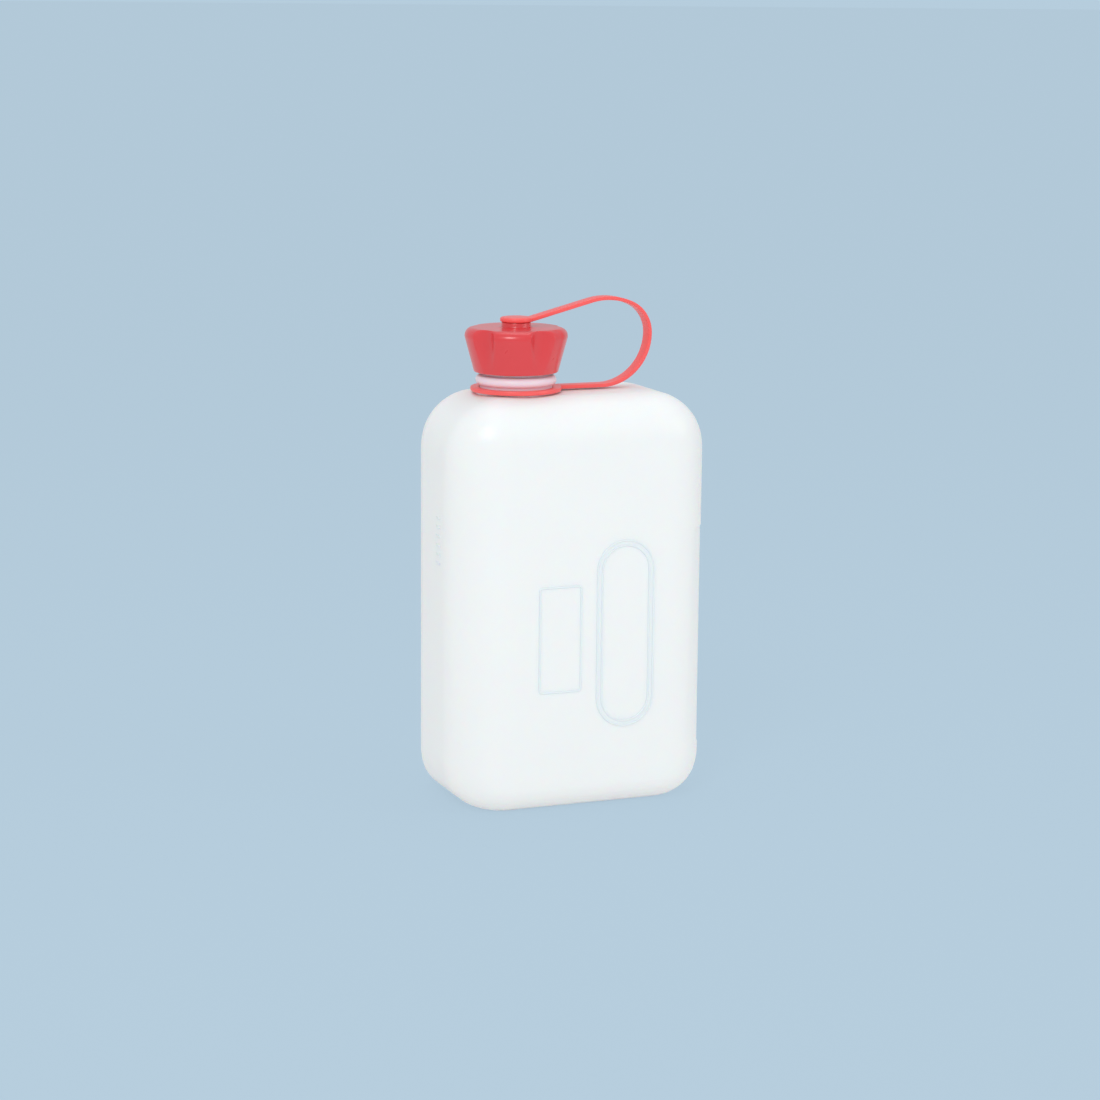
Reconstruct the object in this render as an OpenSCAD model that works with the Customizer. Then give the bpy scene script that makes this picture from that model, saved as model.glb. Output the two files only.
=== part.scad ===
// Camping fuel bottle: a flat two litre blow moulded bottle with its neck set to one side,
// a lobed screw cap with a loose liner, and a retaining strap that links the neck to the cap.
// Millimetres, +Z up. The origin is the middle of the footprint, at standing level.
// The neck lies towards -X, and the front face looks along -Y.

/* [Bottle] */
// Width of the bottle, along X
bottle_w = 150; // [140:1:170]
// Depth of the bottle, along Y
bottle_d = 86; // [82:1:96]
// Height from the ground to the flat of the shoulder
bottle_h = 226; // [200:1:250]
// Thickness of the moulded wall
wall = 2; // [1.6:0.1:2.6]
// Radius of the four upright edges
edge_r = 28; // [28:0.5:32]
// Radius of the edges round the shoulder
shoulder_r = 28; // [24:0.5:28]
// Radius of the edges round the base
base_r = 20; // [16:0.5:24]
// Width of the channel along the base, between its two feet
channel_w = 38; // [30:1:44]
// Height of the channel above the ground
channel_h = 5; // [3:0.5:6]

/* [Moulded marks] */
// Height of the raised lines above the wall
relief = 0.4; // [0.3:0.1:0.6]
// Width of the raised lines
line_w = 1.1; // [0.8:0.1:1.4]
// Width of the oblong frame on the front face
oblong_w = 34; // [28:1:38]
// Height of the oblong frame
oblong_h = 104; // [90:1:112]
// Gap between the two lines of the oblong frame
oblong_gap = 1.6; // [1.2:0.1:2.4]
// Place of the oblong frame's middle along X
oblong_x = 21; // [18:1:24]
// Place of the oblong frame's middle above the ground
oblong_z = 97; // [90:1:104]
// Width of the small rectangular frame on the front face
plate_w = 25; // [18:1:26]
// Height of the small rectangular frame
plate_h = 59; // [50:1:66]
// Place of the small frame's middle along X
plate_x = -17; // [-20:1:-15]
// Place of the small frame's middle above the ground
plate_z = 96; // [90:1:100]
// Place of the level marks along Y, on the wall on the neck's side
marks_y = -8.5; // [-10:0.5:10]
// Number of level marks
level_count = 6; // [3:1:8]
// Length of a level mark
level_len = 6; // [4:0.5:8]
// Step from one level mark to the next
level_step = 5; // [4:0.5:7]
// Height of the topmost level mark above the ground
level_top = 160; // [150:1:170]

/* [Grip panel] */
// Depth of the sunk panel on the wall away from the neck
panel_depth = 0.4; // [0.3:0.1:0.6]
// Height of the panel's lower edge above the ground
panel_low = 28; // [26:1:34]
// Height of the panel's upper edge above the ground
panel_high = 152; // [140:1:160]
// Width of the panel at its lower corners
panel_w_low = 81; // [70:1:81]
// Width of the panel at its upper edge
panel_w_high = 74; // [60:1:76]
// Size of the cut across the panel's lower corners
panel_cut = 6; // [4:0.5:8]

/* [Neck] */
// Distance of the neck's axis from the middle, towards -X
neck_offset = 27.2; // [24:0.2:30]
// Radius of the mouth
mouth_r = 16.5; // [14:0.5:16.5]
// Outer radius of the neck below its bead
neck_r = 19.8; // [19.4:0.1:20.2]
// Height of the neck above the shoulder
neck_h = 31.4; // [30.4:0.2:33]
// Height of the step that the neck ring rests on
step_h = 0.6; // [0.4:0.1:0.6]
// Outer radius of that step
step_r = 21.6; // [21:0.1:22.6]
// Outer radius of the neck's bead
bead_r = 22; // [21.6:0.1:22.6]
// Radius of the bead's rounded edge
bead_round = 2.8; // [2.4:0.1:2.9]
// Height of the bead's middle above the shoulder
bead_up = 7; // [6.9:0.1:7.4]

/* [Screw thread] */
// Outer radius of the neck where its thread stands
root_r = 18.7; // [18.3:0.1:18.8]
// Height of the thread's ridge
ridge_h = 1.6; // [1.2:0.1:1.7]
// Width of the ridge at its root
ridge_root = 2.2; // [1.8:0.1:2.3]
// Width of the ridge at its crest
ridge_crest = 1.1; // [0.8:0.1:1.3]
// Rise of the thread in one turn
pitch = 4; // [4:0.1:4.6]
// Turns of thread on the neck and in the cap
thread_turns = 1.25; // [1:0.05:1.4]
// Clearance between the neck and the cap, crest to wall
thread_gap = 0.4; // [0.3:0.05:0.5]

/* [Cap] */
// Height of the cap's lower edge above the shoulder
cap_up = 11.3; // [10.8:0.1:11.6]
// Height of the cap from its lower edge to its flat top
cap_h = 24.1; // [23.9:0.1:26]
// Outer radius of the cap at its lower edge
cap_low_r = 23.1; // [22.8:0.1:24]
// Outer radius of the cap across its lobes at the top
cap_high_r = 28; // [27:0.1:29]
// Radius of the lobes' rounded shoulder
cap_round = 4.5; // [3:0.5:5]
// Break of the lower edge
cap_break = 0.6; // [0.4:0.1:0.8]
// Number of lobes
lobes = 5; // [4:1:6]
// Direction of one lobe, from +X towards +Y
lobe_angle = -115; // [-150:1:-80]
// Radius of the rounded grooves between the lobes
groove_r = 9; // [7:0.5:10]
// Distance of the grooves' floors from the cap's axis
groove_floor = 23.6; // [23.4:0.1:25]

/* [Liner] */
// Thickness of the sealing liner
liner_t = 1.4; // [1:0.1:1.5]
// Clearance between the rim and the liner
rim_gap = 0.2; // [0.1:0.05:0.3]
// Clearance round and above the liner in its pocket
pocket_gap = 0.1; // [0.05:0.05:0.2]
// Height of the lip that holds the liner in the cap
lip_h = 0.8; // [0.6:0.1:1]
// How far the lip stands in from the cap's wall
lip_in = 1; // [0.8:0.1:1.2]

/* [Strap] */
// Width of the strap
strap_w = 8.4; // [6:0.2:10]
// Thickness of the strap
strap_t = 2; // [1.6:0.1:2.2]
// Outer radius of the ring round the neck
ring_r = 24.8; // [23.5:0.1:26]
// Thickness of the ring round the neck
ring_t = 2.2; // [1.8:0.1:2.4]
// Clearance round the neck inside the ring, and below the ring
ring_gap = 0.3; // [0.2:0.05:0.4]
// Length of the tab that joins the ring to the strap, from the neck's axis
tab_reach = 32; // [29:0.5:36]
// Radius of the loop's lower bend
bend_low_r = 28; // [27:0.5:30]
// Radius of the loop's upper side bend
bend_side_r = 18.2; // [16:0.2:19]
// Radius of the loop's long top bend
bend_top_r = 36; // [30:1:40]
// Distance from the neck's axis to the middle of the lower bend
bend_low_x = 49.5; // [46:0.5:52]
// Angle through which the upper side bend runs
side_turn = 65.6; // [60:0.2:70]
// Slope of the strap where it runs down to the eye
eye_slope = 14.7; // [13:0.1:16]

/* [Eye and stud] */
// Radius of the boss in the middle of the cap
boss_r = 8; // [7:0.1:8.4]
// Height of the boss above the cap's top
boss_h = 2.8; // [2.6:0.1:4]
// Outer radius of the strap's eye
eye_r = 8.8; // [8.6:0.1:9.6]
// Thickness of the eye's skin over the stud's head, and of its lip under the head
eye_skin = 0.7; // [0.6:0.1:1]
// Radius of the eye's rounded edge
eye_round = 0.8; // [0.5:0.1:1]
// Radius of the stud that the eye turns on
stud_r = 4; // [3.6:0.1:4.2]
// Clearance between the stud and the eye's hole
stud_gap = 0.1; // [0.05:0.01:0.1]
// Radius of the stud's head
head_r = 5.4; // [5:0.1:5.8]
// Thickness of the stud's head
head_t = 0.8; // [0.7:0.1:1]
// Clearance round, over and under the head, and below the eye
head_gap = 0.2; // [0.1:0.05:0.3]
// How far the eye's stub of strap reaches from the cap's axis
stub_reach = 15; // [12:0.5:18]

/* [Hidden] */
$fn = 96;
natural = [0.95, 0.96, 0.97];
cap_red = [0.84, 0.19, 0.22];
strap_red = [0.98, 0.38, 0.37];
liner_grey = [0.86, 0.86, 0.84];
sink = 1;
turn_steps = 40;
fade_steps = 5;
lap = 0.6;

neck_x = -neck_offset;
rim_z = bottle_h + neck_h;
bead_z = bottle_h + bead_up;
channel_r = (channel_w * channel_w / 4 + channel_h * channel_h) / (2 * channel_h);

cap_low = bottle_h + cap_up;
cap_high = cap_low + cap_h;
cap_bore_r = root_r + ridge_h + thread_gap;
pocket_floor = rim_z + rim_gap + liner_t + pocket_gap;
cap_thread_z = cap_low + ridge_root / 2 + 0.6;
neck_thread_z = cap_thread_z + pitch / 2;
liner_r = cap_bore_r - 0.4;
round_at = [cap_high_r - cap_round, cap_high - cap_round];
to_round = round_at - [cap_low_r, cap_low + cap_break];
side_len = sqrt(to_round * to_round - cap_round * cap_round);
side_angle = atan2(to_round[1], to_round[0]) - asin(cap_round / norm(to_round));
side_end = [cap_low_r, cap_low + cap_break] + side_len * [cos(side_angle), sin(side_angle)];

ring_low = bottle_h + step_h + ring_gap;
strap_z = ring_low + ring_t / 2;
low_bend = [bend_low_x, strap_z + bend_low_r];
side_bend = low_bend + [bend_low_r - bend_side_r, 0];
top_bend = side_bend - (bend_top_r - bend_side_r) * [cos(side_turn), sin(side_turn)];
run_start = top_bend + bend_top_r * [-sin(eye_slope), cos(eye_slope)];
run_len = (run_start[0] - boss_r / 2) / cos(eye_slope);

boss_z = cap_high + boss_h;
eye_low = boss_z + head_gap;
pocket_low = eye_low + eye_skin;
head_low = pocket_low + head_gap;
pocket_high = head_low + head_t + head_gap;
eye_high = pocket_high + eye_skin;
eye_t = eye_high - eye_low;

// Outline with rounded upper and lower corners, standing on the height low
module rounded_outline(width, low, high, top_r, low_r) {
    translate([-width / 2, low + low_r]) square([width, high - low - top_r - low_r]);
    if (width > 2 * top_r) {
        translate([-width / 2 + top_r, high - top_r]) square([width - 2 * top_r, top_r]);
    }
    translate([-width / 2 + low_r, low]) square([width - 2 * low_r, low_r]);
    for (side = [-1, 1]) {
        translate([side * (width / 2 - top_r), high - top_r]) circle(top_r);
        translate([side * (width / 2 - low_r), low + low_r]) circle(low_r);
    }
}

// Box whose upright edges, shoulder and base are all rounded and run into each other
module soft_box(w, d, low, high, upright_r, top_r, low_r) {
    rotate([90, 0, 90])
        linear_extrude(height = w - 2 * upright_r, center = true)
            rounded_outline(d, low, high, top_r, low_r);
    rotate([90, 0, 0])
        linear_extrude(height = d - 2 * upright_r, center = true)
            rounded_outline(w, low, high, top_r, low_r);
    for (sx = [-1, 1], sy = [-1, 1]) {
        translate([sx * (w / 2 - upright_r), sy * (d / 2 - upright_r), 0])
            rotate_extrude()
                intersection() {
                    rounded_outline(2 * upright_r, low, high, top_r, low_r);
                    translate([0, low]) square([upright_r, high - low]);
                }
    }
}

// The bottle's outer surface, or with an inset the surface that far inside it
module bottle_skin(inset) {
    difference() {
        soft_box(bottle_w - 2 * inset, bottle_d - 2 * inset, inset, bottle_h - inset,
            edge_r - inset, shoulder_r - inset, base_r - inset);
        translate([0, 0, channel_h - channel_r])
            rotate([0, 90, 0])
                cylinder(r = channel_r + inset, h = bottle_w + 2 * sink, center = true);
    }
}

// Space over the sunk panel, seen along X
module panel_zone() {
    low_half = panel_w_low / 2;
    rotate([90, 0, 90])
        linear_extrude(height = bottle_w / 2 + sink)
            polygon([
                [-low_half + panel_cut, panel_low], [low_half - panel_cut, panel_low],
                [low_half, panel_low + 2 * panel_cut], [panel_w_high / 2, panel_high],
                [-panel_w_high / 2, panel_high], [-low_half, panel_low + 2 * panel_cut]
            ]);
}

// The wall's outside, with the panel sunk into the side away from the neck
module bottle_outside() {
    difference() {
        bottle_skin(0);
        difference() {
            panel_zone();
            bottle_skin(panel_depth);
        }
    }
}

// Upright oblong with round ends
module oblong(w, h) {
    square([w, h - w], center = true);
    for (side = [-1, 1]) translate([0, side * (h - w) / 2]) circle(d = w);
}

module oblong_line(w, h) {
    difference() {
        oblong(w, h);
        oblong(w - 2 * line_w, h - 2 * line_w);
    }
}

// Raised empty frames on the front face
module front_frames() {
    translate([0, -bottle_d / 2 + sink, 0])
        rotate([90, 0, 0])
            linear_extrude(height = sink + relief) {
                inner = 2 * (line_w + oblong_gap);
                translate([oblong_x, oblong_z]) oblong_line(oblong_w, oblong_h);
                translate([oblong_x, oblong_z]) oblong_line(oblong_w - inner, oblong_h - inner);
                translate([plate_x, plate_z])
                    difference() {
                        square([plate_w, plate_h], center = true);
                        square([plate_w - 2 * line_w, plate_h - 2 * line_w], center = true);
                    }
            }
}

// Raised level marks on the wall on the neck's side
module side_marks() {
    for (k = [0 : level_count - 1])
        translate([-bottle_w / 2 - relief, marks_y - level_len / 2, level_top - k * level_step])
            cube([sink + relief, level_len, line_w]);
}

// Helical ridge. base_at and crest_at are the radii of its foot and its crest
module thread_ridge(base_at, crest_at, start_z) {
    steps = round(turn_steps * thread_turns);
    function rise(k) = min(1, (k + 0.5) / fade_steps, (steps - k + 0.5) / fade_steps);
    function corner(k, radius, up) = [
        radius * cos(360 * k / turn_steps), radius * sin(360 * k / turn_steps),
        start_z + pitch * k / turn_steps + up
    ];
    function crest(k) = base_at + (crest_at - base_at) * rise(k);
    points = [for (k = [0 : steps]) each [
        corner(k, base_at, -ridge_root / 2), corner(k, crest(k), -ridge_crest / 2),
        corner(k, crest(k), ridge_crest / 2), corner(k, base_at, ridge_root / 2)
    ]];
    outward = crest_at > base_at;
    sides = [for (k = [0 : steps - 1], j = [0 : 3])
        let (a = 4 * k + j, b = 4 * k + (j + 1) % 4)
        each [[a, b, b + 4], [a, b + 4, a + 4]]];
    last = 4 * steps;
    ends = [[0, 2, 1], [0, 3, 2], [last, last + 1, last + 2], [last, last + 2, last + 3]];
    faces = concat(sides, ends);
    polyhedron(points, outward ? faces : [for (f = faces) [f[0], f[2], f[1]]], convexity = 4);
}

// Neck with its step, bead and thread, about its own axis
module neck_outside() {
    translate([0, 0, bottle_h - 8]) cylinder(r = neck_r, h = 8 + bead_up);
    translate([0, 0, bottle_h - 6]) cylinder(r = step_r, h = 6 + step_h);
    translate([0, 0, bead_z - bead_round]) cylinder(r = bead_r - bead_round, h = 2 * bead_round);
    rotate_extrude() translate([bead_r - bead_round, bead_z]) circle(bead_round);
    translate([0, 0, bead_z]) cylinder(r = root_r, h = rim_z - bead_z);
    thread_ridge(root_r - 0.4, root_r + ridge_h, neck_thread_z);
}

module bottle() {
    color(natural)
        difference() {
            union() {
                bottle_outside();
                front_frames();
                side_marks();
                translate([neck_x, 0, 0]) neck_outside();
            }
            bottle_skin(wall);
            translate([neck_x, 0, bottle_h - wall - 4]) cylinder(r = mouth_r, h = neck_h + wall + 4 + sink);
        }
}

// Outside of the cap before its grooves are cut, as a half section
module cap_section() {
    polygon([
        [0, cap_low], [cap_low_r - cap_break, cap_low], [cap_low_r, cap_low + cap_break],
        side_end, round_at, [round_at[0], cap_high], [0, cap_high]
    ]);
    translate(round_at) circle(cap_round);
}

// Hollow of the cap: the bore, the lip and the liner's pocket
module cap_hollow() {
    lip_low = pocket_floor - pocket_gap - liner_t - lip_h - pocket_gap;
    translate([0, 0, cap_low - sink]) cylinder(r = cap_bore_r, h = lip_low - cap_low + sink);
    translate([0, 0, lip_low - sink]) cylinder(r = cap_bore_r - lip_in, h = lip_h + 2 * sink);
    translate([0, 0, lip_low + lip_h]) cylinder(r = liner_r + pocket_gap, h = pocket_floor - lip_low - lip_h);
}

module cap() {
    groove_turn = 180 / lobes;
    color(cap_red)
        translate([neck_x, 0, 0]) {
            difference() {
                rotate_extrude() cap_section();
                for (k = [0 : lobes - 1])
                    rotate([0, 0, lobe_angle + groove_turn + 2 * groove_turn * k])
                        translate([groove_floor + groove_r, 0, cap_low - sink])
                            cylinder(r = groove_r, h = cap_h + 2 * sink);
                cap_hollow();
            }
            thread_ridge(cap_bore_r + 0.4, root_r + thread_gap, cap_thread_z);
            translate([0, 0, cap_high - sink]) cylinder(r = boss_r, h = boss_h + sink);
            translate([0, 0, boss_z - sink]) cylinder(r = stud_r, h = head_low - boss_z + sink + head_t / 2);
            translate([0, 0, head_low]) cylinder(r = head_r, h = head_t);
        }
}

// Loose sealing liner, held in the cap by the lip
module cap_liner() {
    color(liner_grey)
        translate([neck_x, 0, rim_z + rim_gap]) cylinder(r = liner_r, h = liner_t);
}

// Part of a round bend in the strap, from one angle to another
module bend(centre, radius, from_angle, to_angle) {
    reach = 2 * (radius + strap_t);
    first = from_angle - lap;
    last = to_angle + lap;
    middle = (from_angle + to_angle) / 2;
    translate(centre)
        intersection() {
            difference() {
                circle(radius + strap_t / 2);
                circle(radius - strap_t / 2);
            }
            polygon([
                [0, 0], reach * [cos(first), sin(first)],
                reach * [cos(middle), sin(middle)], reach * [cos(last), sin(last)]
            ]);
        }
}

// Side view of the strap's last run, which slopes down to the eye
module eye_run() {
    translate(run_start)
        rotate(eye_slope)
            translate([-run_len, -strap_t / 2]) square([run_len, strap_t]);
}

// The strap is flat, so each of its pieces is a side view given the strap's width
module across_strap() {
    translate([neck_x, 0, 0])
        rotate([90, 0, 0])
            linear_extrude(height = strap_w, center = true)
                children();
}

module strap_band() {
    color(strap_red)
        across_strap() {
            translate([tab_reach, strap_z - strap_t / 2]) square([bend_low_x - tab_reach, strap_t]);
            bend(low_bend, bend_low_r, -90, 0);
            bend(side_bend, bend_side_r, 0, side_turn);
            bend(top_bend, bend_top_r, side_turn, 90 + eye_slope);
            intersection() {
                eye_run();
                translate([stub_reach, strap_z]) square([bend_low_x, 2 * bend_low_r]);
            }
        }
}

// Ring that turns round the neck under the bead, with the tab that carries the strap
module neck_ring() {
    color(strap_red)
        difference() {
            union() {
                translate([neck_x, 0, ring_low]) cylinder(r = ring_r, h = ring_t);
                translate([neck_x, -strap_w / 2, ring_low]) cube([tab_reach, strap_w, ring_t]);
            }
            translate([neck_x, 0, ring_low - sink]) cylinder(r = neck_r + ring_gap, h = ring_t + 2 * sink);
        }
}

// Rounded disc of the eye, as a half section
module eye_section() {
    translate([0, eye_low]) square([eye_r - eye_round, eye_t]);
    translate([0, eye_low + eye_round]) square([eye_r, eye_t - 2 * eye_round]);
    for (z = [eye_low + eye_round, eye_high - eye_round])
        translate([eye_r - eye_round, z]) circle(eye_round);
}

// Closed eye that snaps over the stud's head and turns on the stud, with the strap's stub
module strap_eye() {
    color(strap_red)
        difference() {
            union() {
                translate([neck_x, 0, 0]) rotate_extrude() eye_section();
                across_strap()
                    intersection() {
                        eye_run();
                        translate([head_r, eye_low]) square([stub_reach - head_r, bend_low_r]);
                    }
            }
            translate([neck_x, 0, eye_low - sink]) cylinder(r = stud_r + stud_gap, h = sink + eye_skin + head_gap);
            translate([neck_x, 0, pocket_low]) cylinder(r = head_r + head_gap, h = pocket_high - pocket_low);
        }
}

bottle();
cap();
cap_liner();
neck_ring();
strap_band();
strap_eye();
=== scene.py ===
"""Camping fuel bottle: the finished surfaces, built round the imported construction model.

Lengths are metres, +Z is up, the front face looks along -Y and the neck is set towards -X.
"""

import math

import bpy
from bpy.props import FloatProperty, FloatVectorProperty, IntProperty, PointerProperty
from mathutils import Matrix, Vector


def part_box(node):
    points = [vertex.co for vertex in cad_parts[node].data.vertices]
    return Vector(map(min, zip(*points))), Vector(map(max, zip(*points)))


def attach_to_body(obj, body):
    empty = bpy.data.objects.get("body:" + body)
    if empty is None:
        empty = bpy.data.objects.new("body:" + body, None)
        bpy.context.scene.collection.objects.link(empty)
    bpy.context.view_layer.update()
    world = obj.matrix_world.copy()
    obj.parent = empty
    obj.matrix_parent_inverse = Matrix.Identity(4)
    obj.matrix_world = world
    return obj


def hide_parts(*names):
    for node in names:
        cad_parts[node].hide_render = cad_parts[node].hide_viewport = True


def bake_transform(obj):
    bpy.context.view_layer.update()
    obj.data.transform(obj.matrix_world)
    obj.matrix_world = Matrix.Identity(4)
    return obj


bl_info = {
    "name": "Camping fuel bottle",
    "version": (1, 0, 0),
    "blender": (4, 5, 0),
    "location": "View3D > Sidebar > Fuel bottle",
    "description": "Builds a flat plastic fuel bottle with a lobed screw cap and a retaining strap",
    "category": "Object",
}

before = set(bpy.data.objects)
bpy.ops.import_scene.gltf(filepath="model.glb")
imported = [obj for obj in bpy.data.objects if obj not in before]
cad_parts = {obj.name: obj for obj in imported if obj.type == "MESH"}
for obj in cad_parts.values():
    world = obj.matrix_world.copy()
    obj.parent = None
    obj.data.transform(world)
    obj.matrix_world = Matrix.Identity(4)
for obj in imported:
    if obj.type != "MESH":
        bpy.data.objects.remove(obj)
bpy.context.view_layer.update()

BOTTLE_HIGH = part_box("bottle")[1]
CAP_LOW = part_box("cap")[0]
LINER_LOW, LINER_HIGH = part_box("cap_liner")
RING_LOW, RING_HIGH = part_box("neck_ring")
EYE_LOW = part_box("strap_eye")[0]

MM = 0.001
HALF_WIDTH = BOTTLE_HIGH.x
HALF_DEPTH = BOTTLE_HIGH.y
RIM_Z = BOTTLE_HIGH.z
NECK_X = (LINER_LOW.x + LINER_HIGH.x) / 2
CAP_Z = CAP_LOW.z
RING_Z = RING_LOW.z
EYE_Z = EYE_LOW.z

# The neck: radii about its axis, and heights from the flat of the shoulder
NECK_R = 19.8 * MM
NECK_DEPTH = 9 * MM
NECK_EDGE = 0.3 * MM
COLLAR_R = 21.6 * MM
COLLAR_DEPTH = 6 * MM
COLLAR_H = 0.6 * MM
BEAD_AXIS_R = 19.2 * MM
BEAD_R = 2.8 * MM
BEAD_FOOT = 3.9 * MM
BEAD_H = 7 * MM
MOUTH_FOOT = 10.4 * MM
MOUTH_EDGE = 0.5 * MM
BORE_R = 16.5 * MM
BORE_DEPTH = 6 * MM
# Painted red bounce light: the pink that the neck above the ring takes in its colour stands in for light
# thrown on it by the red cap
NECK_RED_BOUNCE = (0.86, 0.72, 0.8)

# The screw thread on the neck and in the cap
ROOT_R = 18.7 * MM
CAP_BORE_R = 20.7 * MM
RIDGE_H = 1.6 * MM
RIDGE_SINK = 0.4 * MM
RIDGE_HALF_ROOT = 1.1 * MM
RIDGE_HALF_CREST = 0.55 * MM
PITCH = 4 * MM
TURNS = 1.25
CAP_THREAD_Z = CAP_Z + 1.7 * MM
NECK_THREAD_Z = CAP_THREAD_Z + PITCH / 2

# The grip panel, which is widest a little above its lower end
PANEL_LOW = 28 * MM
PANEL_WIDE_Z = 40 * MM
PANEL_HIGH = 152 * MM
PANEL_EDGE = 1 * MM
PANEL_HALF = 35 * MM
PANEL_FLARE = 5.5 * MM
PANEL_TAPER = 3.5 * MM
PANEL_LEVELS = (-0.8 * MM, 0.0, 0.5 * MM, 1 * MM)

# The body's mesh: steps along a face, an end and an upright edge, and the least gap between rings
FACE_STEPS = 24
END_STEPS = 10
EDGE_STEPS = 24
LEVEL_GAP = 0.3 * MM

# Rounding where the channel under the base meets the feet
CHANNEL_BLEND = 1.2 * MM

# The raised lines on the front face: a section in shares of width and relief, and places and sizes
LINE_WIDTH = 1.1 * MM
LINE_SECTION = ((-0.5, -1.5), (-0.5, 0.3), (-0.25, 1.0), (0.25, 1.0), (0.5, 0.3), (0.5, -1.5))
OBLONG_CENTRE = (21 * MM, 97 * MM)
OBLONG_SIZE = (34 * MM, 104 * MM)
OBLONG_STEP = 5.4 * MM
PLATE_CENTRE = (-17 * MM, 96 * MM)
PLATE_SIZE = (23.9 * MM, 57.9 * MM)
PLATE_CORNER = 1.5 * MM
OBLONG_FLAT = 0.01 * MM

# The level marks on the narrow side under the neck
MARK_COUNT = 6
MARK_STEP = 5 * MM
MARK_TOP_Z = 160.55 * MM
MARK_Y = -8.5 * MM
MARK_LENGTH = 6 * MM
MARK_EDGE = 0.25 * MM

# The cap's stud and inside, and its rounded edges as steps inwards or outwards, and down or up
STUD_R = 4 * MM
HEAD_R = 5.4 * MM
HEAD_H = 0.8 * MM
SMALL_EDGE = 0.2 * MM
HEAD_UP = 0.9 * MM
BOSS_ROUND = ((0.6 * MM, 0.0), (0.15 * MM, 0.2 * MM), (0.0, 0.6 * MM))
BOSS_FILLET = ((0.0, 0.9 * MM), (0.25 * MM, 0.3 * MM), (0.9 * MM, 0.0))
SKIRT_ROUND = ((0.0, 0.8 * MM), (0.12 * MM, 0.35 * MM), (0.4 * MM, 0.08 * MM), (0.8 * MM, 0.0))
SKIRT_DRAFT = 12
GROOVE_BLEND = 1.6 * MM
LIP_R = 19.7 * MM
LIP_H = 0.8 * MM
POCKET_R = 20.4 * MM
LINER_ROOM = 0.1 * MM

# The strap: distances from the neck's axis, and the heights of its eye
BAND_START = 22.5 * MM
BAND_FIRST = 26 * MM
BAND_STEP = 4 * MM
BAND_END = 6.6 * MM
BAND_EDGE = 0.45 * MM
BAND_STEPS = 6
RING_ROUND = ((0.5 * MM, 0.0), (0.15 * MM, 0.15 * MM), (0.0, 0.5 * MM))
EYE_H = 2.6 * MM
EYE_FOOT = ((0.5 * MM, 0.0), (0.1 * MM, 0.25 * MM), (0.0, 0.7 * MM))
EYE_CROWN = ((0.0, 1.0 * MM), (0.2 * MM, 0.55 * MM), (0.7 * MM, 0.2 * MM), (1.6 * MM, 0.06 * MM))
HEAD_ROOM = 0.2 * MM
STUD_ROOM = 0.1 * MM

# Radii of the small rings that close a turned form at its axis
AXIS_R = 0.01 * MM
POLE_R = 0.02 * MM

# The stage: each lamp has a name, a place, a size and a power
LAMPS = (("key", (-0.75, -1.0, 1.1), 0.5, 6.0),
         ("fill", (1.1, -0.9, 0.7), 0.7, 2.4),
         ("top", (0.1, 0.2, 1.5), 0.8, 2.4))
LAMP_TARGET = (0, 0, 0.15)
FLOOR_SIZE = 2000
VIEW_END = 5000
FLOOR_GLOW = 0.25
FLOOR_GLOW_SEEN = 0.6
WORLD_LIGHT = 0.77
WORLD_LIGHT_SEEN = 0.23
SENSOR_WIDTH = 36
NEUTRAL_LIGHT = (0.92, 0.905, 0.9, 1)


def length(name, description, default_mm):
    """A length property, given in millimetres and held in metres."""
    return FloatProperty(name=name, description=description, default=default_mm * MM, unit="LENGTH")


def colour(name, description, rgb):
    """A colour property, given as display values from 0 to 255 and held as linear light."""
    linear = [((v / 255 + 0.055) / 1.055) ** 2.4 for v in rgb]
    return FloatVectorProperty(name=name, description=description, default=linear, subtype="COLOR", size=3)


class BottleSettings(bpy.types.PropertyGroup):
    """Sizes and colour of the blown bottle."""

    height: length("Shoulder height", "Height of the flat of the shoulder", 226)
    edge: length("Upright edge radius", "Radius of the four upright edges", 28)
    top_x: length("Shoulder radius, ends", "Radius where the shoulder meets the narrow sides", 32)
    top_y: length("Shoulder radius, faces", "Radius where the shoulder meets the broad faces", 24)
    base_x: length("Base radius, ends", "Radius where the base meets the narrow sides", 25)
    base_y: length("Base radius, faces", "Radius where the base meets the broad faces", 15)
    wall: length("Wall", "Thickness of the blown wall", 2)
    channel: length("Base channel", "Height of the channel between the feet", 5)
    channel_half: length("Channel half width", "Half the width of the channel between the feet", 19)
    relief: length("Relief", "Height of the moulded lines", 0.4)
    colour: colour("Natural plastic", "Colour of the undyed plastic", (247, 248, 250))


class CapSettings(bpy.types.PropertyGroup):
    """Sizes and colour of the screw cap."""

    height: length("Height", "Height from the lower edge to the flat top", 24.1)
    low: length("Lower radius", "Radius at the lower edge", 23.1)
    high: length("Upper radius", "Radius over the lobes", 28)
    round: length("Shoulder radius", "Rounding of the lobes' shoulder", 4.5)
    lobes: IntProperty(name="Lobes", description="Number of lobes", default=5)
    turn: FloatProperty(name="Turn", description="Direction of one lobe", default=math.radians(-115),
                        subtype="ANGLE")
    groove: length("Groove radius", "Radius of the grooves between the lobes", 9)
    floor: length("Groove floor", "Distance of the groove floors from the axis", 23.6)
    boss: length("Boss radius", "Radius of the boss on top", 8)
    boss_height: length("Boss height", "Height of the boss above the flat top", 2.8)
    colour: colour("Cap red", "Colour of the cap", (226, 62, 68))


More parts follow.
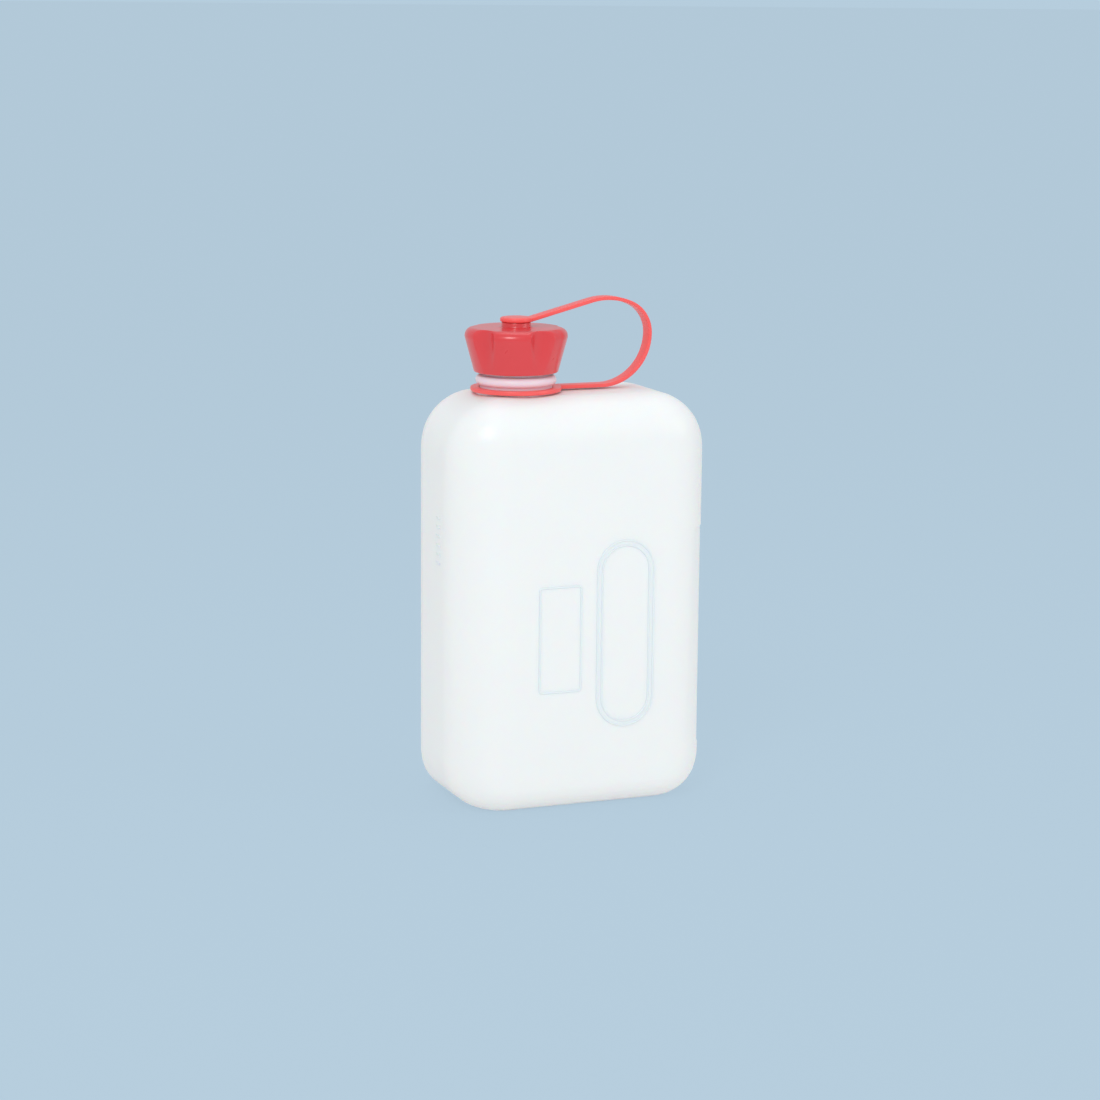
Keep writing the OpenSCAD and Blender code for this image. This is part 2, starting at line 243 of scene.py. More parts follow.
class StrapSettings(bpy.types.PropertyGroup):
    """Sizes and colour of the retaining strap."""

    width: length("Width", "Width of the band", 8.4)
    thick: length("Thickness", "Thickness of the band", 2)
    ring: length("Ring radius", "Outer radius of the ring on the neck", 24.8)
    bore: length("Ring bore", "Inner radius of the ring on the neck", 20.1)
    eye: length("Eye radius", "Radius of the eye on the cap", 8.8)
    bend_low: length("Lower bend", "Radius of the loop's lower bend", 28)
    bend_side: length("Side bend", "Radius of the loop's side bend", 18.2)
    bend_top: length("Top bend", "Radius of the loop's top bend", 36)
    bend_at: length("Bend place", "Distance of the lower bend from the neck's axis", 49.5)
    side_turn: FloatProperty(name="Side turn", description="Angle of the side bend",
                             default=math.radians(65.6), subtype="ANGLE")
    slope: FloatProperty(name="Slope", description="Slope of the run down to the eye",
                         default=math.radians(14.7), subtype="ANGLE")
    colour: colour("Strap red", "Colour of the strap", (255, 98, 97))


class StageSettings(bpy.types.PropertyGroup):
    """Camera place and background."""

    azimuth: FloatProperty(name="Azimuth", description="Camera direction about +Z, 0 looks along +Y",
                           default=math.radians(-21.6486), subtype="ANGLE")
    elevation: FloatProperty(name="Elevation", description="Camera height as an angle",
                             default=math.radians(10.6613), subtype="ANGLE")
    roll: FloatProperty(name="Roll", description="Camera roll", default=math.radians(0.46615),
                        subtype="ANGLE")
    distance: length("Distance", "Distance of the camera from its target", 1607.5)
    target: length("Target height", "Height of the camera's target", 115)
    right: length("Right", "Camera moved to its right", -5.86)
    up: length("Up", "Camera moved up", 21.41)
    lens: FloatProperty(name="Lens", description="Focal length in millimetres", default=94.91)
    colour: colour("Background", "Colour of the floor and the world", (182, 205, 221))


class Wire:
    """A shader socket that takes part in Python arithmetic."""

    def __init__(self, nodes, socket):
        self.nodes = nodes
        self.socket = socket

    def maths(self, operation, first, second):
        return self.nodes.add("ShaderNodeMath", {"operation": operation}, {0: first, 1: second})

    def __add__(self, other):
        return self.maths("ADD", self, other)

    def __radd__(self, other):
        return self.maths("ADD", other, self)

    def __sub__(self, other):
        return self.maths("SUBTRACT", self, other)

    def __rsub__(self, other):
        return self.maths("SUBTRACT", other, self)

    def __mul__(self, other):
        return self.maths("MULTIPLY", self, other)

    def __rmul__(self, other):
        return self.maths("MULTIPLY", other, self)


class Nodes:
    """A node tree that is filled one node at a time."""

    def __init__(self, tree):
        self.tree = tree
        tree.nodes.clear()

    def add(self, kind, settings=None, inputs=None, output=0):
        """Adds a node, applies its settings, then fills or links its sockets."""
        node = self.tree.nodes.new(kind)
        for name, value in (settings or {}).items():
            setattr(node, name, value)
        for key, value in (inputs or {}).items():
            if isinstance(value, Wire):
                self.tree.links.new(value.socket, node.inputs[key])
            else:
                node.inputs[key].default_value = value
        return Wire(self, node.outputs[output]) if node.outputs else None


def plastic(name, rgb, roughness, grain_mm, mottle, coat=0.0, subsurface=0.0, painted_red_bounce=None):
    """Moulded plastic: faint mottling in the colour, uneven gloss and a fine moulded grain, and where
    asked, painted red bounce light above the neck ring.
    """
    material = bpy.data.materials.new(name)
    material.use_nodes = True
    nodes = Nodes(material.node_tree)
    place = nodes.add("ShaderNodeTexCoord", output=3)
    cloud = nodes.add("ShaderNodeTexNoise", None, {"Vector": place, "Scale": 28.0, "Detail": 3.0})
    grain = {"Vector": place, "Scale": 1 / (grain_mm * MM), "Detail": 2.0}
    fine = nodes.add("ShaderNodeTexNoise", None, grain)
    wear = nodes.add("ShaderNodeTexNoise", None,
                     {"Vector": place, "Scale": 160.0, "Detail": 4.0, "Distortion": 0.6})
    base = (*rgb, 1.0)
    deep = (*[v * (1 - mottle) for v in rgb], 1.0)
    mixed = nodes.add("ShaderNodeMix", {"data_type": "RGBA"}, {0: cloud, 6: deep, 7: base}, output=2)
    # Painted red bounce light: above the neck ring the colour is blended towards pink, standing in for red
    # light from the cap
    if painted_red_bounce:
        up = nodes.add("ShaderNodeSeparateXYZ", None, {0: place}, output=2)
        above = nodes.add("ShaderNodeMapRange", {"interpolation_type": "SMOOTHSTEP"},
                          {0: up, 1: RING_Z, 2: RING_Z + 2 * MM})
        mixed = nodes.add("ShaderNodeMix", {"data_type": "RGBA"}, {0: above, 6: mixed, 7: (*painted_red_bounce, 1)},
                          output=2)
    height = fine * 0.6 + wear * 0.4
    normal = nodes.add("ShaderNodeBump", None, {"Strength": 0.12, "Distance": 0.05 * MM, "Height": height})
    shader = nodes.add("ShaderNodeBsdfPrincipled", None, {
        "Base Color": mixed,
        "Roughness": roughness + (wear - 0.5) * 0.12,
        "Normal": normal,
        "IOR": 1.5,
        "Coat Weight": coat,
        "Coat Roughness": 0.12,
        "Subsurface Weight": subsurface,
        "Subsurface Scale": 0.006,
    })
    nodes.add("ShaderNodeOutputMaterial", None, {"Surface": shader})
    return material


def deselect():
    """Leaves nothing selected, so that an operator acts only on what is picked next."""
    if bpy.context.object and bpy.context.object.mode != "OBJECT":
        bpy.ops.object.mode_set(mode="OBJECT")
    bpy.ops.object.select_all(action="DESELECT")


def pick(piece):
    """Selects one piece alone and makes it the active one."""
    deselect()
    piece.select_set(True)
    bpy.context.view_layer.objects.active = piece


def loft(name, rings, closed=False):
    """A skin through rings of equally many points, closed over its ends or back on to its first ring."""
    count = len(rings[0])
    points = [p for ring in rings for p in ring]
    spans = len(rings) if closed else len(rings) - 1
    faces = []
    for r in range(spans):
        here, there = r * count, (r + 1) % len(rings) * count
        for k in range(count):
            n = (k + 1) % count
            faces.append((here + k, here + n, there + n, there + k))
    if not closed:
        faces.append(tuple(reversed(range(count))))
        faces.append(tuple(range(len(points) - count, len(points))))
    mesh = bpy.data.meshes.new(name)
    mesh.from_pydata(points, [], faces)
    piece = bpy.data.objects.new(name, mesh)
    bpy.context.scene.collection.objects.link(piece)
    pick(piece)
    bpy.ops.object.mode_set(mode="EDIT")
    bpy.ops.mesh.select_all(action="SELECT")
    bpy.ops.mesh.remove_doubles(threshold=0.002 * MM)
    bpy.ops.mesh.normals_make_consistent(inside=False)
    bpy.ops.object.mode_set(mode="OBJECT")
    return piece


def level_circle(radius, z, steps=160):
    """Points of a level circle about the neck's axis."""
    angles = [2 * math.pi * k / steps for k in range(steps)]
    return [(NECK_X + radius * math.cos(a), radius * math.sin(a), z) for a in angles]


def revolve(name, profile, steps=160):
    """A solid turned about the neck's axis from (radius, height) points."""
    return loft(name, [level_circle(radius, z, steps) for radius, z in profile])


def revolve_ring(name, profile, steps=160):
    """A ring turned about the neck's axis from the closed outline of its section."""
    angles = [2 * math.pi * k / steps for k in range(steps)]
    rings = [[(NECK_X + r * math.cos(a), r * math.sin(a), z) for r, z in profile] for a in angles]
    return loft(name, rings, closed=True)


def combine(piece, tool, operation):
    """Applies a boolean of the tool to the piece, and removes the tool."""
    pick(piece)
    modifier = piece.modifiers.new(operation.lower(), "BOOLEAN")
    modifier.operation = operation
    modifier.solver = "EXACT"
    modifier.object = tool
    bpy.ops.object.modifier_apply(modifier=modifier.name)
    bpy.data.objects.remove(tool)


def attach(piece, *parts):
    """Joins parts into the piece as they are: each is a closed form that stands in the piece's wall."""
    pick(piece)
    for part in parts:
        part.select_set(True)
    bpy.ops.object.join()


def finish_piece(piece, material, body, nodes, angle=35):
    """Smooths a piece, gives it its material and ties it to the frame."""
    pick(piece)
    bpy.ops.object.shade_smooth_by_angle(angle=math.radians(angle))
    piece.data.materials.clear()
    piece.data.materials.append(material)
    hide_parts(*nodes)
    if body:
        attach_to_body(piece, body)


def arc(radius, centre, start, end, steps):
    """Points on an arc in a plane, without its first point."""
    return [(centre[0] + radius * math.cos(start + (end - start) * k / steps),
             centre[1] + radius * math.sin(start + (end - start) * k / steps)) for k in range(1, steps + 1)]


def inset_at(depth, radius):
    """How far a rounded edge stands in, at a depth from the face that it runs into."""
    if depth >= radius:
        return 0.0
    return radius - math.sqrt(max(radius ** 2 - (radius - depth) ** 2, 0.0))


def soft_max(a, b, width):
    """The larger of two values, rounded where they cross."""
    h = max(width - abs(a - b), 0.0) / width
    return max(a, b) + h * h * width / 4


def plan_ring(half_x, half_y, corner, flat_x, flat_y, turn):
    """Points round a rectangle with rounded corners, as (x, y), counter-clockwise from the +X side."""
    points = []
    corner = max(corner, 0.05 * MM)
    cx, cy = half_x - corner, half_y - corner
    for k in range(flat_y):
        points.append((half_x, -cy + 2 * cy * k / flat_y))
    points += [(cx + corner * math.cos(a), cy + corner * math.sin(a))
               for a in [math.pi / 2 * k / turn for k in range(turn)]]
    for k in range(flat_x):
        points.append((cx - 2 * cx * k / flat_x, half_y))
    points += [(-cx - corner * math.sin(a), cy + corner * math.cos(a))
               for a in [math.pi / 2 * k / turn for k in range(turn)]]
    for k in range(flat_y):
        points.append((-half_x, cy - 2 * cy * k / flat_y))
    points += [(-cx - corner * math.cos(a), -cy - corner * math.sin(a))
               for a in [math.pi / 2 * k / turn for k in range(turn)]]
    for k in range(flat_x):
        points.append((-cx + 2 * cx * k / flat_x, -half_y))
    points += [(cx + corner * math.sin(a), -cy - corner * math.cos(a))
               for a in [math.pi / 2 * k / turn for k in range(turn)]]
    return points


def clamp(value):
    """The value, held between 0 and 1."""
    return min(max(value, 0.0), 1.0)


def panel_sink(x, y, z, depth):
    """Depth of the grip panel that is sunk into the side away from the neck."""
    if x <= 0:
        return 0.0
    lower = clamp((z - PANEL_LOW) / (PANEL_WIDE_Z - PANEL_LOW))
    upper = clamp((z - PANEL_WIDE_Z) / (PANEL_HIGH - PANEL_WIDE_Z))
    half = PANEL_HALF + PANEL_FLARE * lower - PANEL_TAPER * upper
    room = min(z - PANEL_LOW, PANEL_HIGH - z, half - abs(y))
    t = clamp(room / PANEL_EDGE)
    return depth * t * t * (3 - 2 * t)


def sunk(x, y, sink, edge):
    """A point of the body's outline on the +X side, moved inwards by a depth."""
    reach = Vector((x - (HALF_WIDTH - edge), max(abs(y) - (HALF_DEPTH - edge), 0.0)))
    if not sink or not reach.length:
        return x, y
    return x - sink * reach.x / reach.length, y - math.copysign(sink * reach.y / reach.length, y)


def body_skin(name, settings, inset):
    """The bottle's outside, or with an inset its inside."""
    height = settings.height - inset
    top_x, top_y = settings.top_x - inset, settings.top_y - inset
    base_x, base_y = settings.base_x - inset, settings.base_y - inset
    half_x, half_y = HALF_WIDTH - inset, HALF_DEPTH - inset
    arch = settings.channel
    arch_radius = (settings.channel_half ** 2 + arch ** 2) / (2 * arch)

    levels = [inset + base_x * (1 - math.cos(math.radians(a))) for a in range(0, 91, 4)]
    straight = [PANEL_LOW + step for step in PANEL_LEVELS] + [PANEL_HIGH - step for step in PANEL_LEVELS]
    straight += [PANEL_LOW + (4 + 5 * k) * MM for k in range(24)]
    straight += [PANEL_HIGH + 6 * k * MM for k in range(1, 7)]
    levels += sorted(z for z in straight if z > levels[-1] + LEVEL_GAP)
    levels += [height - top_x * (1 - math.sin(math.radians(a))) for a in range(0, 91, 3)]

    def ring_at(z, shrink):
        """The body's outline at a height, drawn in by a share where it closes over."""
        down, up = height - z, z - inset
        in_x = inset_at(down, top_x) + inset_at(up, base_x)
        in_y = inset_at(down, top_y) + inset_at(up, base_y)
        corner = settings.edge - inset - (in_x + in_y) / 2
        points = []
        for x, y in plan_ring(half_x - in_x, half_y - in_y, corner, FACE_STEPS, END_STEPS, EDGE_STEPS):
            x, y = x * shrink, y * shrink
            if inset == 0.0 and shrink == 1.0:
                x, y = sunk(x, y, panel_sink(x, y, z, settings.relief), settings.edge)
            level = z
            if abs(y) < arch_radius and z < settings.base_x:
                vault = arch + inset - arch_radius + math.sqrt(arch_radius ** 2 - y ** 2)
                level = soft_max(z, vault, CHANNEL_BLEND)
            points.append((x, y, max(level, inset)))
        return points

    rings = [ring_at(levels[0], share) for share in [0.02] + [k / 16 for k in range(1, 16)]]
    rings += [ring_at(z, 1.0) for z in levels]
    rings += [ring_at(levels[-1], share) for share in (0.85, 0.7, 0.5, 0.3, 0.1, 0.02)]
    return loft(name, rings)


def neck_form(shoulder):
    """The neck as a solid, with its collar, bead and mouth, on a shoulder at the given height."""
    foot, collar_top = shoulder - NECK_DEPTH, shoulder + COLLAR_H
    profile = [(AXIS_R, foot), (NECK_R, foot), (COLLAR_R, shoulder - COLLAR_DEPTH),
               (COLLAR_R, collar_top - NECK_EDGE), (COLLAR_R - NECK_EDGE, collar_top),
               (NECK_R + NECK_EDGE, collar_top), (NECK_R, collar_top + NECK_EDGE),
               (NECK_R, shoulder + BEAD_FOOT)]
    for degrees in range(-75, 91, 11):
        a = math.radians(degrees)
        profile.append((BEAD_AXIS_R + BEAD_R * math.cos(a), shoulder + BEAD_H + BEAD_R * math.sin(a)))
    profile += [(ROOT_R, shoulder + MOUTH_FOOT), (ROOT_R, RIM_Z - MOUTH_EDGE),
                (ROOT_R - MOUTH_EDGE, RIM_Z), (AXIS_R, RIM_Z)]
    return revolve("neck", profile)


def raised_line(name, path, relief):
    """A rounded raised line along a closed path of (x, z) points on the front face."""
    count = len(path)
    rings = []
    for k, (x, z) in enumerate(path):
        before, after = path[k - 1], path[(k + 1) % count]
        along = Vector((after[0] - before[0], after[1] - before[1])).normalized()
        side = Vector((along.y, -along.x)) * LINE_WIDTH
        rings.append([(x + side.x * s, -HALF_DEPTH - relief * h, z + side.y * s) for s, h in LINE_SECTION])
    return loft(name, rings, closed=True)


def rounded_path(centre, width, height, corner, steps):
    """A closed path round an upright rectangle with rounded corners, in metres."""
    half_x, half_z = width / 2 - corner, height / 2 - corner
    path = []
    for quarter, (sx, sz) in enumerate([(1, 1), (-1, 1), (-1, -1), (1, -1)]):
        for k in range(steps + 1):
            a = math.pi / 2 * (quarter + k / steps)
            path.append((centre[0] + sx * half_x + corner * math.cos(a),
                         centre[1] + sz * half_z + corner * math.sin(a)))
    return path


def level_mark(z, relief):
    """A short raised bar with rounded edges on the narrow side under the neck."""
    bpy.ops.mesh.primitive_cube_add(size=1, location=(0, 0, 0))
    mark = bpy.context.object
    size = Matrix.Diagonal((2 * relief, MARK_LENGTH, LINE_WIDTH, 1))
    mark.data.transform(Matrix.Translation((-HALF_WIDTH, MARK_Y, z)) @ size)
    pick(mark)
    bpy.ops.object.mode_set(mode="EDIT")
    bpy.ops.mesh.select_all(action="SELECT")
    bpy.ops.mesh.bevel(offset=MARK_EDGE, segments=2)
    bpy.ops.object.mode_set(mode="OBJECT")
    return mark


def helix(name, root, crest, start_z):
    """A screw thread's ridge about the neck's axis, fading at both ends."""
    per_turn, fade = 72, 9
    steps = int(per_turn * TURNS)
    foot = root - math.copysign(RIDGE_SINK, crest - root)
    rings = []
    for k in range(steps + 1):
        a = 2 * math.pi * k / per_turn
        rise = min(1.0, (k + 0.5) / fade, (steps - k + 0.5) / fade)
        top = root + (crest - root) * rise
        z = start_z + PITCH * k / per_turn
        section = [(foot, -RIDGE_HALF_ROOT), (root, -RIDGE_HALF_ROOT), (top, -RIDGE_HALF_CREST),
                   (top, RIDGE_HALF_CREST), (root, RIDGE_HALF_ROOT), (foot, RIDGE_HALF_ROOT)]
        rings.append([(NECK_X + r * math.cos(a), r * math.sin(a), z + dz) for r, dz in section])
    return loft(name, rings)


class BottleOperator(bpy.types.Operator):
    """Builds the blown bottle with its neck, thread and moulded marks"""

    bl_idname = "fuel_bottle.bottle"
    bl_label = "Bottle"

    def execute(self, context):
        settings = context.scene.fuel_bottle
        piece = body_skin("bottle_shell", settings, 0.0)
        combine(piece, neck_form(settings.height), "UNION")
        combine(piece, helix("thread", ROOT_R, ROOT_R + RIDGE_H, NECK_THREAD_Z), "UNION")
        combine(piece, body_skin("hollow", settings, settings.wall), "DIFFERENCE")
        low, high = settings.height - BORE_DEPTH, RIM_Z + MM
        bore = [(AXIS_R, low), (BORE_R, low), (BORE_R, high), (AXIS_R, high)]
        combine(piece, revolve("bore", bore), "DIFFERENCE")
        for index in range(2):
            width, height = (size - LINE_WIDTH - index * OBLONG_STEP for size in OBLONG_SIZE)
            path = rounded_path(OBLONG_CENTRE, width, height, width / 2 - OBLONG_FLAT, 16)
            attach(piece, raised_line(f"oblong_{index}", path, settings.relief))
        plate = rounded_path(PLATE_CENTRE, *PLATE_SIZE, PLATE_CORNER, 5)
        attach(piece, raised_line("plate", plate, settings.relief))
        for k in range(MARK_COUNT):
            attach(piece, level_mark(MARK_TOP_Z - k * MARK_STEP, settings.relief))
        # The neck's pink above the ring is painted red bounce light from the cap
        material = plastic("natural_polyethylene", settings.colour, 0.36, 0.9, 0.02, subsurface=0.25,
                           painted_red_bounce=NECK_RED_BOUNCE)
        finish_piece(piece, material, "bottle", ["bottle"])
        return {"FINISHED"}


class CapOperator(bpy.types.Operator):
    """Builds the lobed screw cap with its boss, stud, lip and thread"""

    bl_idname = "fuel_bottle.cap"
    bl_label = "Cap"

    def execute(self, context):
        settings = context.scene.fuel_cap
        top = CAP_Z + settings.height
        boss_top = top + settings.boss_height
        round_r, round_z = settings.high - settings.round, top - settings.round
        steps = 48 * settings.lobes
        period = 2 * math.pi / settings.lobes
        centre = settings.floor + settings.groove

        def groove(angle):
            """Distance of a groove's wall from the axis, or infinity between two grooves."""
            off = (angle - settings.turn) % period - period / 2
            across = centre * math.sin(off)
            if abs(across) >= settings.groove:
                return math.inf
            return centre * math.cos(off) - math.sqrt(settings.groove ** 2 - across ** 2)

        def lobed(radius, z):
            """A level circle with the grooves cut into it."""
            ring = []
            for k in range(steps):
                a = 2 * math.pi * k / steps
                r = -soft_max(-radius, -groove(a), GROOVE_BLEND)
                ring.append((NECK_X + r * math.cos(a), r * math.sin(a), z))
            return ring

        head = EYE_Z + HEAD_UP
        crown = [(POLE_R, head + HEAD_H), (HEAD_R - SMALL_EDGE, head + HEAD_H),
                 (HEAD_R, head + HEAD_H - SMALL_EDGE), (HEAD_R, head), (STUD_R, head), (STUD_R, boss_top)]
        crown += [(settings.boss - inwards, boss_top - down) for inwards, down in BOSS_ROUND]
        crown += [(settings.boss + outwards, top + up) for outwards, up in BOSS_FILLET]
        rings = [level_circle(radius, z, steps) for radius, z in crown]
        start, outline = rings[-1], lobed(round_r, top)
        for share in (0.25, 0.5, 0.75, 0.9):
            rings.append([tuple(a + (b - a) * share for a, b in zip(p, q)) for p, q in zip(start, outline)])

        turns = [math.radians(degrees) for degrees in range(90, -SKIRT_DRAFT - 1, -6)]
        edge = [(round_r + settings.round * math.cos(a), round_z + settings.round * math.sin(a))
                for a in turns]
        end_r, end_z = edge[-1]
        foot_z = CAP_Z + SKIRT_ROUND[0][1]
        skirt = [(end_r + (settings.low - end_r) * k / 15, end_z + (foot_z - end_z) * k / 15)
                 for k in range(1, 15)]
        rings += [lobed(radius, z) for radius, z in edge + skirt]

        pocket, lip = LINER_HIGH.z + LINER_ROOM, LINER_LOW.z - LINER_ROOM
        inside = [(settings.low - inwards, CAP_Z + up) for inwards, up in SKIRT_ROUND]
        inside += [(CAP_BORE_R + SMALL_EDGE, CAP_Z), (CAP_BORE_R, CAP_Z + SMALL_EDGE),
                   (CAP_BORE_R, lip - LIP_H), (LIP_R, lip - LIP_H), (LIP_R, lip), (POCKET_R, lip),
                   (POCKET_R, pocket), (POLE_R, pocket)]
        rings += [level_circle(radius, z, steps) for radius, z in inside]
        piece = loft("cap_shell", rings)
        combine(piece, helix("cap_thread", CAP_BORE_R, CAP_BORE_R - RIDGE_H, CAP_THREAD_Z), "UNION")
        material = plastic("cap_red", settings.colour, 0.3, 0.5, 0.12, coat=0.35, subsurface=0.05)
        finish_piece(piece, material, "cap", ["cap"], angle=40)
        return {"FINISHED"}


def band_section(width, thick, corner):
    """Half sizes of a flat band's section with rounded edges, as (across, out) points."""
    half_w, half_t = width / 2 - corner, thick / 2 - corner
    section = []
    for quarter, (sw, st) in enumerate([(1, 1), (-1, 1), (-1, -1), (1, -1)]):
        for k in range(5):
            a = math.pi / 2 * (quarter + k / 4)
            section.append((sw * half_w + corner * math.cos(a), st * half_t + corner * math.sin(a)))
    return section


class StrapOperator(bpy.types.Operator):
    """Builds the retaining strap: ring, looped band and eye in one moulding"""

    bl_idname = "fuel_bottle.strap"
    bl_label = "Strap"

    def execute(self, context):
        settings = context.scene.fuel_strap
        ring_top = RING_HIGH.z
        middle = (RING_Z + ring_top) / 2
        low = (settings.bend_at, middle + settings.bend_low)
        side = (low[0] + settings.bend_low - settings.bend_side, low[1])
        shift = settings.bend_top - settings.bend_side
        turn, slope = settings.side_turn, settings.slope
        top = (side[0] - shift * math.cos(turn), side[1] - shift * math.sin(turn))
        path = [(BAND_START, middle)] + [(BAND_FIRST + BAND_STEP * k, middle) for k in range(BAND_STEPS)]
        path.append((settings.bend_at, middle))
        path += arc(settings.bend_low, low, -math.pi / 2, 0, 30)
        path += arc(settings.bend_side, side, 0, turn, 18)
        path += arc(settings.bend_top, top, turn, math.pi / 2 + slope, 18)
        start_x, start_z = path[-1]
        run = start_x - BAND_END
        path += [(start_x - run * k / 10, start_z - run * math.tan(slope) * k / 10) for k in range(1, 11)]
        rings = []
        section = band_section(settings.width, settings.thick, BAND_EDGE)
        for k, (x, z) in enumerate(path):
            before, after = path[max(k - 1, 0)], path[min(k + 1, len(path) - 1)]
            along = Vector((after[0] - before[0], after[1] - before[1])).normalized()
            out = Vector((along.y, -along.x))
            rings.append([(NECK_X + x + out.x * t, w, z + out.y * t) for w, t in section])
        piece = loft("strap", rings)

        bore, rim = settings.bore, settings.ring
        outline = [(bore, RING_Z + SMALL_EDGE), (bore + SMALL_EDGE, RING_Z)]
        outline += [(rim - inwards, RING_Z + up) for inwards, up in RING_ROUND]
        outline += [(rim - inwards, ring_top - down) for inwards, down in reversed(RING_ROUND)]
        outline += [(bore + SMALL_EDGE, ring_top), (bore, ring_top - SMALL_EDGE)]
        combine(piece, revolve_ring("ring", outline), "UNION")

        eye_top = EYE_Z + EYE_H
        disc = [(AXIS_R, EYE_Z)] + [(settings.eye - inwards, EYE_Z + up) for inwards, up in EYE_FOOT]
        disc += [(settings.eye - inwards, eye_top - down) for inwards, down in EYE_CROWN]
        disc += [(STUD_R, eye_top), (AXIS_R, eye_top)]
        combine(piece, revolve("eye", disc, 128), "UNION")
        stud_r, head_r = STUD_R + STUD_ROOM, HEAD_R + HEAD_ROOM
        below, ledge = EYE_Z - MM, EYE_Z + HEAD_UP - HEAD_ROOM
        ceiling = EYE_Z + HEAD_UP + HEAD_H + HEAD_ROOM
        pocket = [(AXIS_R, below), (stud_r, below), (stud_r, ledge), (head_r, ledge), (head_r, ceiling),
                  (AXIS_R, ceiling)]
        combine(piece, revolve("pocket", pocket, 96), "DIFFERENCE")
        material = plastic("strap_red", settings.colour, 0.38, 0.6, 0.08, coat=0.15, subsurface=0.1)
        finish_piece(piece, material, None, ["neck_ring", "strap_band", "strap_eye"])
        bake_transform(piece)
        return {"FINISHED"}


class LinerOperator(bpy.types.Operator):
    """Gives the sealing liner its foamed finish"""

    bl_idname = "fuel_bottle.liner"
    bl_label = "Liner"

    def execute(self, context):
        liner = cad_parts["cap_liner"]
        material = plastic("liner_foam", (0.78, 0.78, 0.75), 0.7, 0.3, 0.1)
        liner.data.materials.clear()
        liner.data.materials.append(material)
        return {"FINISHED"}


def stage_shader(nodes, rgb):
    """Shows the plain background colour to the camera and a neutral white to the object's surfaces."""
    seen = nodes.add("ShaderNodeLightPath", output=0)
    glossy = nodes.add("ShaderNodeLightPath", output=3)
    passed = nodes.add("ShaderNodeLightPath", output=6)
    reach = {0: seen + glossy * 0.5, 1: passed}
    shown = nodes.add("ShaderNodeMath", {"operation": "ADD", "use_clamp": True}, reach)
    colours = {0: shown, 6: NEUTRAL_LIGHT, 7: (*rgb, 1)}
    return nodes.add("ShaderNodeMix", {"data_type": "RGBA"}, colours, output=2)


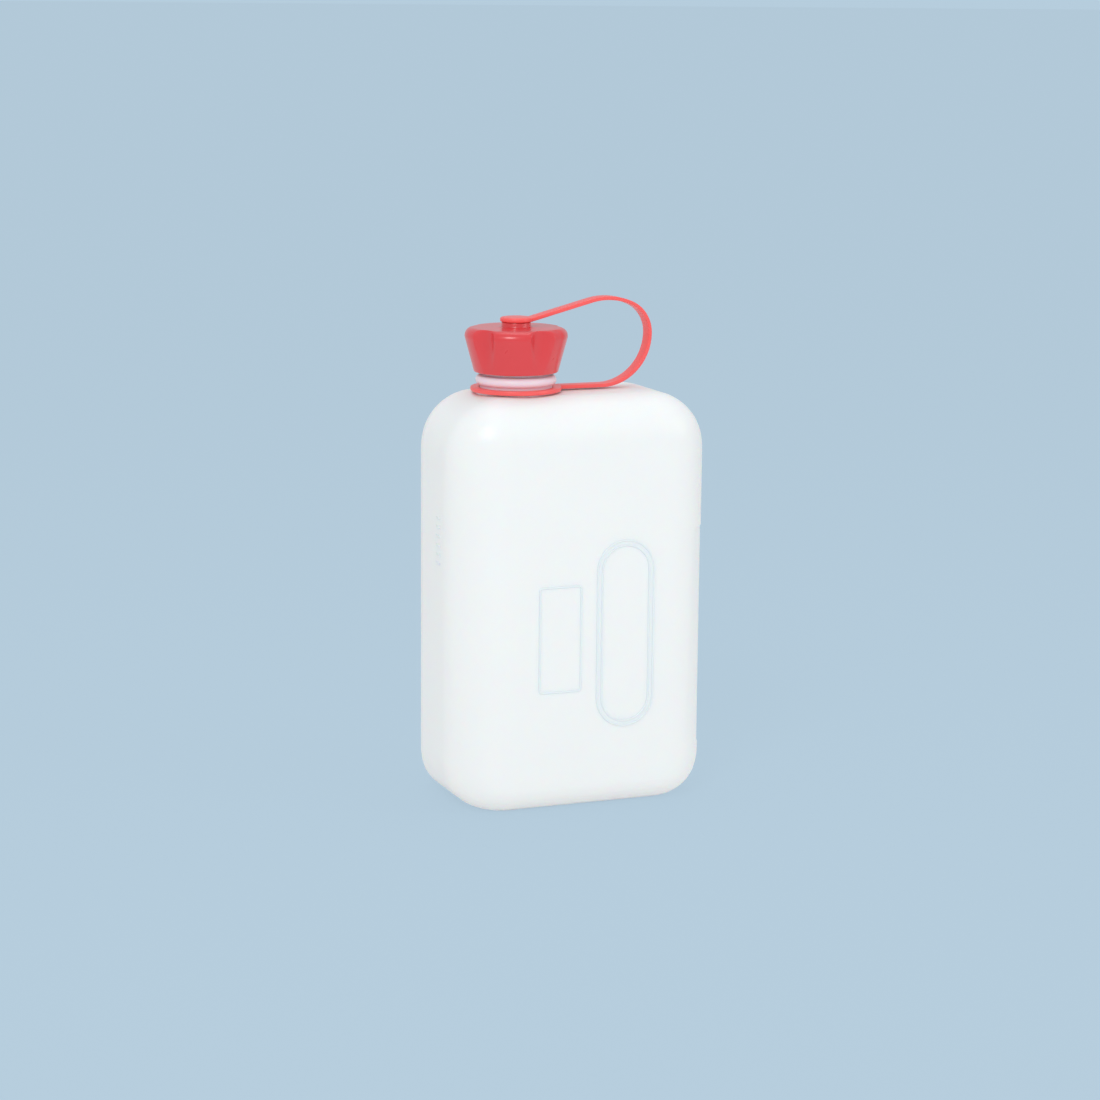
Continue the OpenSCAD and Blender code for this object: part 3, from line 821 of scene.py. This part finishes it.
class StageOperator(bpy.types.Operator):
    """Sets up the floor, the soft light and the camera"""

    bl_idname = "fuel_bottle.stage"
    bl_label = "Stage"

    def execute(self, context):
        scene = context.scene
        settings = scene.fuel_stage
        deselect()
        bpy.ops.mesh.primitive_grid_add(x_subdivisions=4, y_subdivisions=4, size=FLOOR_SIZE,
                                        location=(0, 0, 0))
        floor = context.object
        floor.name = "floor"
        material = bpy.data.materials.new("pale_floor")
        material.use_nodes = True
        nodes = Nodes(material.node_tree)
        tint = stage_shader(nodes, settings.colour)
        matt = nodes.add("ShaderNodeBsdfDiffuse", None, {"Color": tint})
        glow = nodes.add("ShaderNodeEmission", None, {"Color": tint, "Strength": 1.0})
        camera_ray = nodes.add("ShaderNodeLightPath", output=0)
        share = camera_ray * FLOOR_GLOW_SEEN + FLOOR_GLOW
        both = nodes.add("ShaderNodeMixShader", None, {0: share, 1: matt, 2: glow})
        nodes.add("ShaderNodeOutputMaterial", None, {"Surface": both})
        floor.data.materials.append(material)

        world = bpy.data.worlds.new("soft_world")
        scene.world = world
        world.use_nodes = True
        nodes = Nodes(world.node_tree)
        tint = stage_shader(nodes, settings.colour)
        camera_ray = nodes.add("ShaderNodeLightPath", output=0)
        strength = camera_ray * WORLD_LIGHT_SEEN + WORLD_LIGHT
        sky = nodes.add("ShaderNodeBackground", None, {"Color": tint, "Strength": strength})
        nodes.add("ShaderNodeOutputWorld", None, {"Surface": sky})

        for name, place, size, power in LAMPS:
            light = bpy.data.lights.new(name, "AREA")
            light.size = size
            light.energy = power
            lamp = bpy.data.objects.new(name, light)
            lamp.location = place
            aim = Vector(LAMP_TARGET) - Vector(place)
            lamp.rotation_euler = aim.to_track_quat("-Z", "Y").to_euler()
            scene.collection.objects.link(lamp)

        az, el = settings.azimuth, settings.elevation
        back = Vector((math.sin(az) * math.cos(el), -math.cos(az) * math.cos(el), math.sin(el)))
        right = Vector((math.cos(az), math.sin(az), 0))
        up = back.cross(right)
        turned = right * math.cos(settings.roll) + up * math.sin(settings.roll)
        upright = up * math.cos(settings.roll) - right * math.sin(settings.roll)
        data = bpy.data.cameras.new("camera")
        data.lens = settings.lens
        data.sensor_width = SENSOR_WIDTH
        data.clip_end = VIEW_END
        camera = bpy.data.objects.new("camera", data)
        place = Vector((0, 0, settings.target)) + back * settings.distance + turned * settings.right
        place += upright * settings.up
        axes = Matrix((turned, upright, back)).transposed().to_4x4()
        camera.matrix_world = Matrix.Translation(place) @ axes
        scene.collection.objects.link(camera)
        scene.camera = camera
        scene.view_settings.view_transform = "Standard"
        return {"FINISHED"}


class BottlePanel(bpy.types.Panel):
    """Lists the operators in the order in which they build the bottle"""

    bl_idname = "VIEW3D_PT_fuel_bottle"
    bl_label = "Fuel bottle"
    bl_space_type = "VIEW_3D"
    bl_region_type = "UI"
    bl_category = "Fuel bottle"

    def draw(self, context):
        for operator in OPERATORS:
            self.layout.operator(operator.bl_idname)


SETTINGS = {"fuel_bottle": BottleSettings, "fuel_cap": CapSettings, "fuel_strap": StrapSettings,
            "fuel_stage": StageSettings}
OPERATORS = (BottleOperator, CapOperator, StrapOperator, LinerOperator, StageOperator)


def register():
    for group in SETTINGS.values():
        bpy.utils.register_class(group)
    for name, group in SETTINGS.items():
        setattr(bpy.types.Scene, name, PointerProperty(type=group))
    for operator in OPERATORS:
        bpy.utils.register_class(operator)
    bpy.utils.register_class(BottlePanel)


def unregister():
    bpy.utils.unregister_class(BottlePanel)
    for operator in reversed(OPERATORS):
        bpy.utils.unregister_class(operator)
    for name in SETTINGS:
        delattr(bpy.types.Scene, name)
    for group in reversed(list(SETTINGS.values())):
        bpy.utils.unregister_class(group)


def main():
    register()
    bpy.ops.fuel_bottle.bottle()
    bpy.ops.fuel_bottle.cap()
    bpy.ops.fuel_bottle.strap()
    bpy.ops.fuel_bottle.liner()
    bpy.ops.fuel_bottle.stage()


if __name__ == "__main__":
    main()
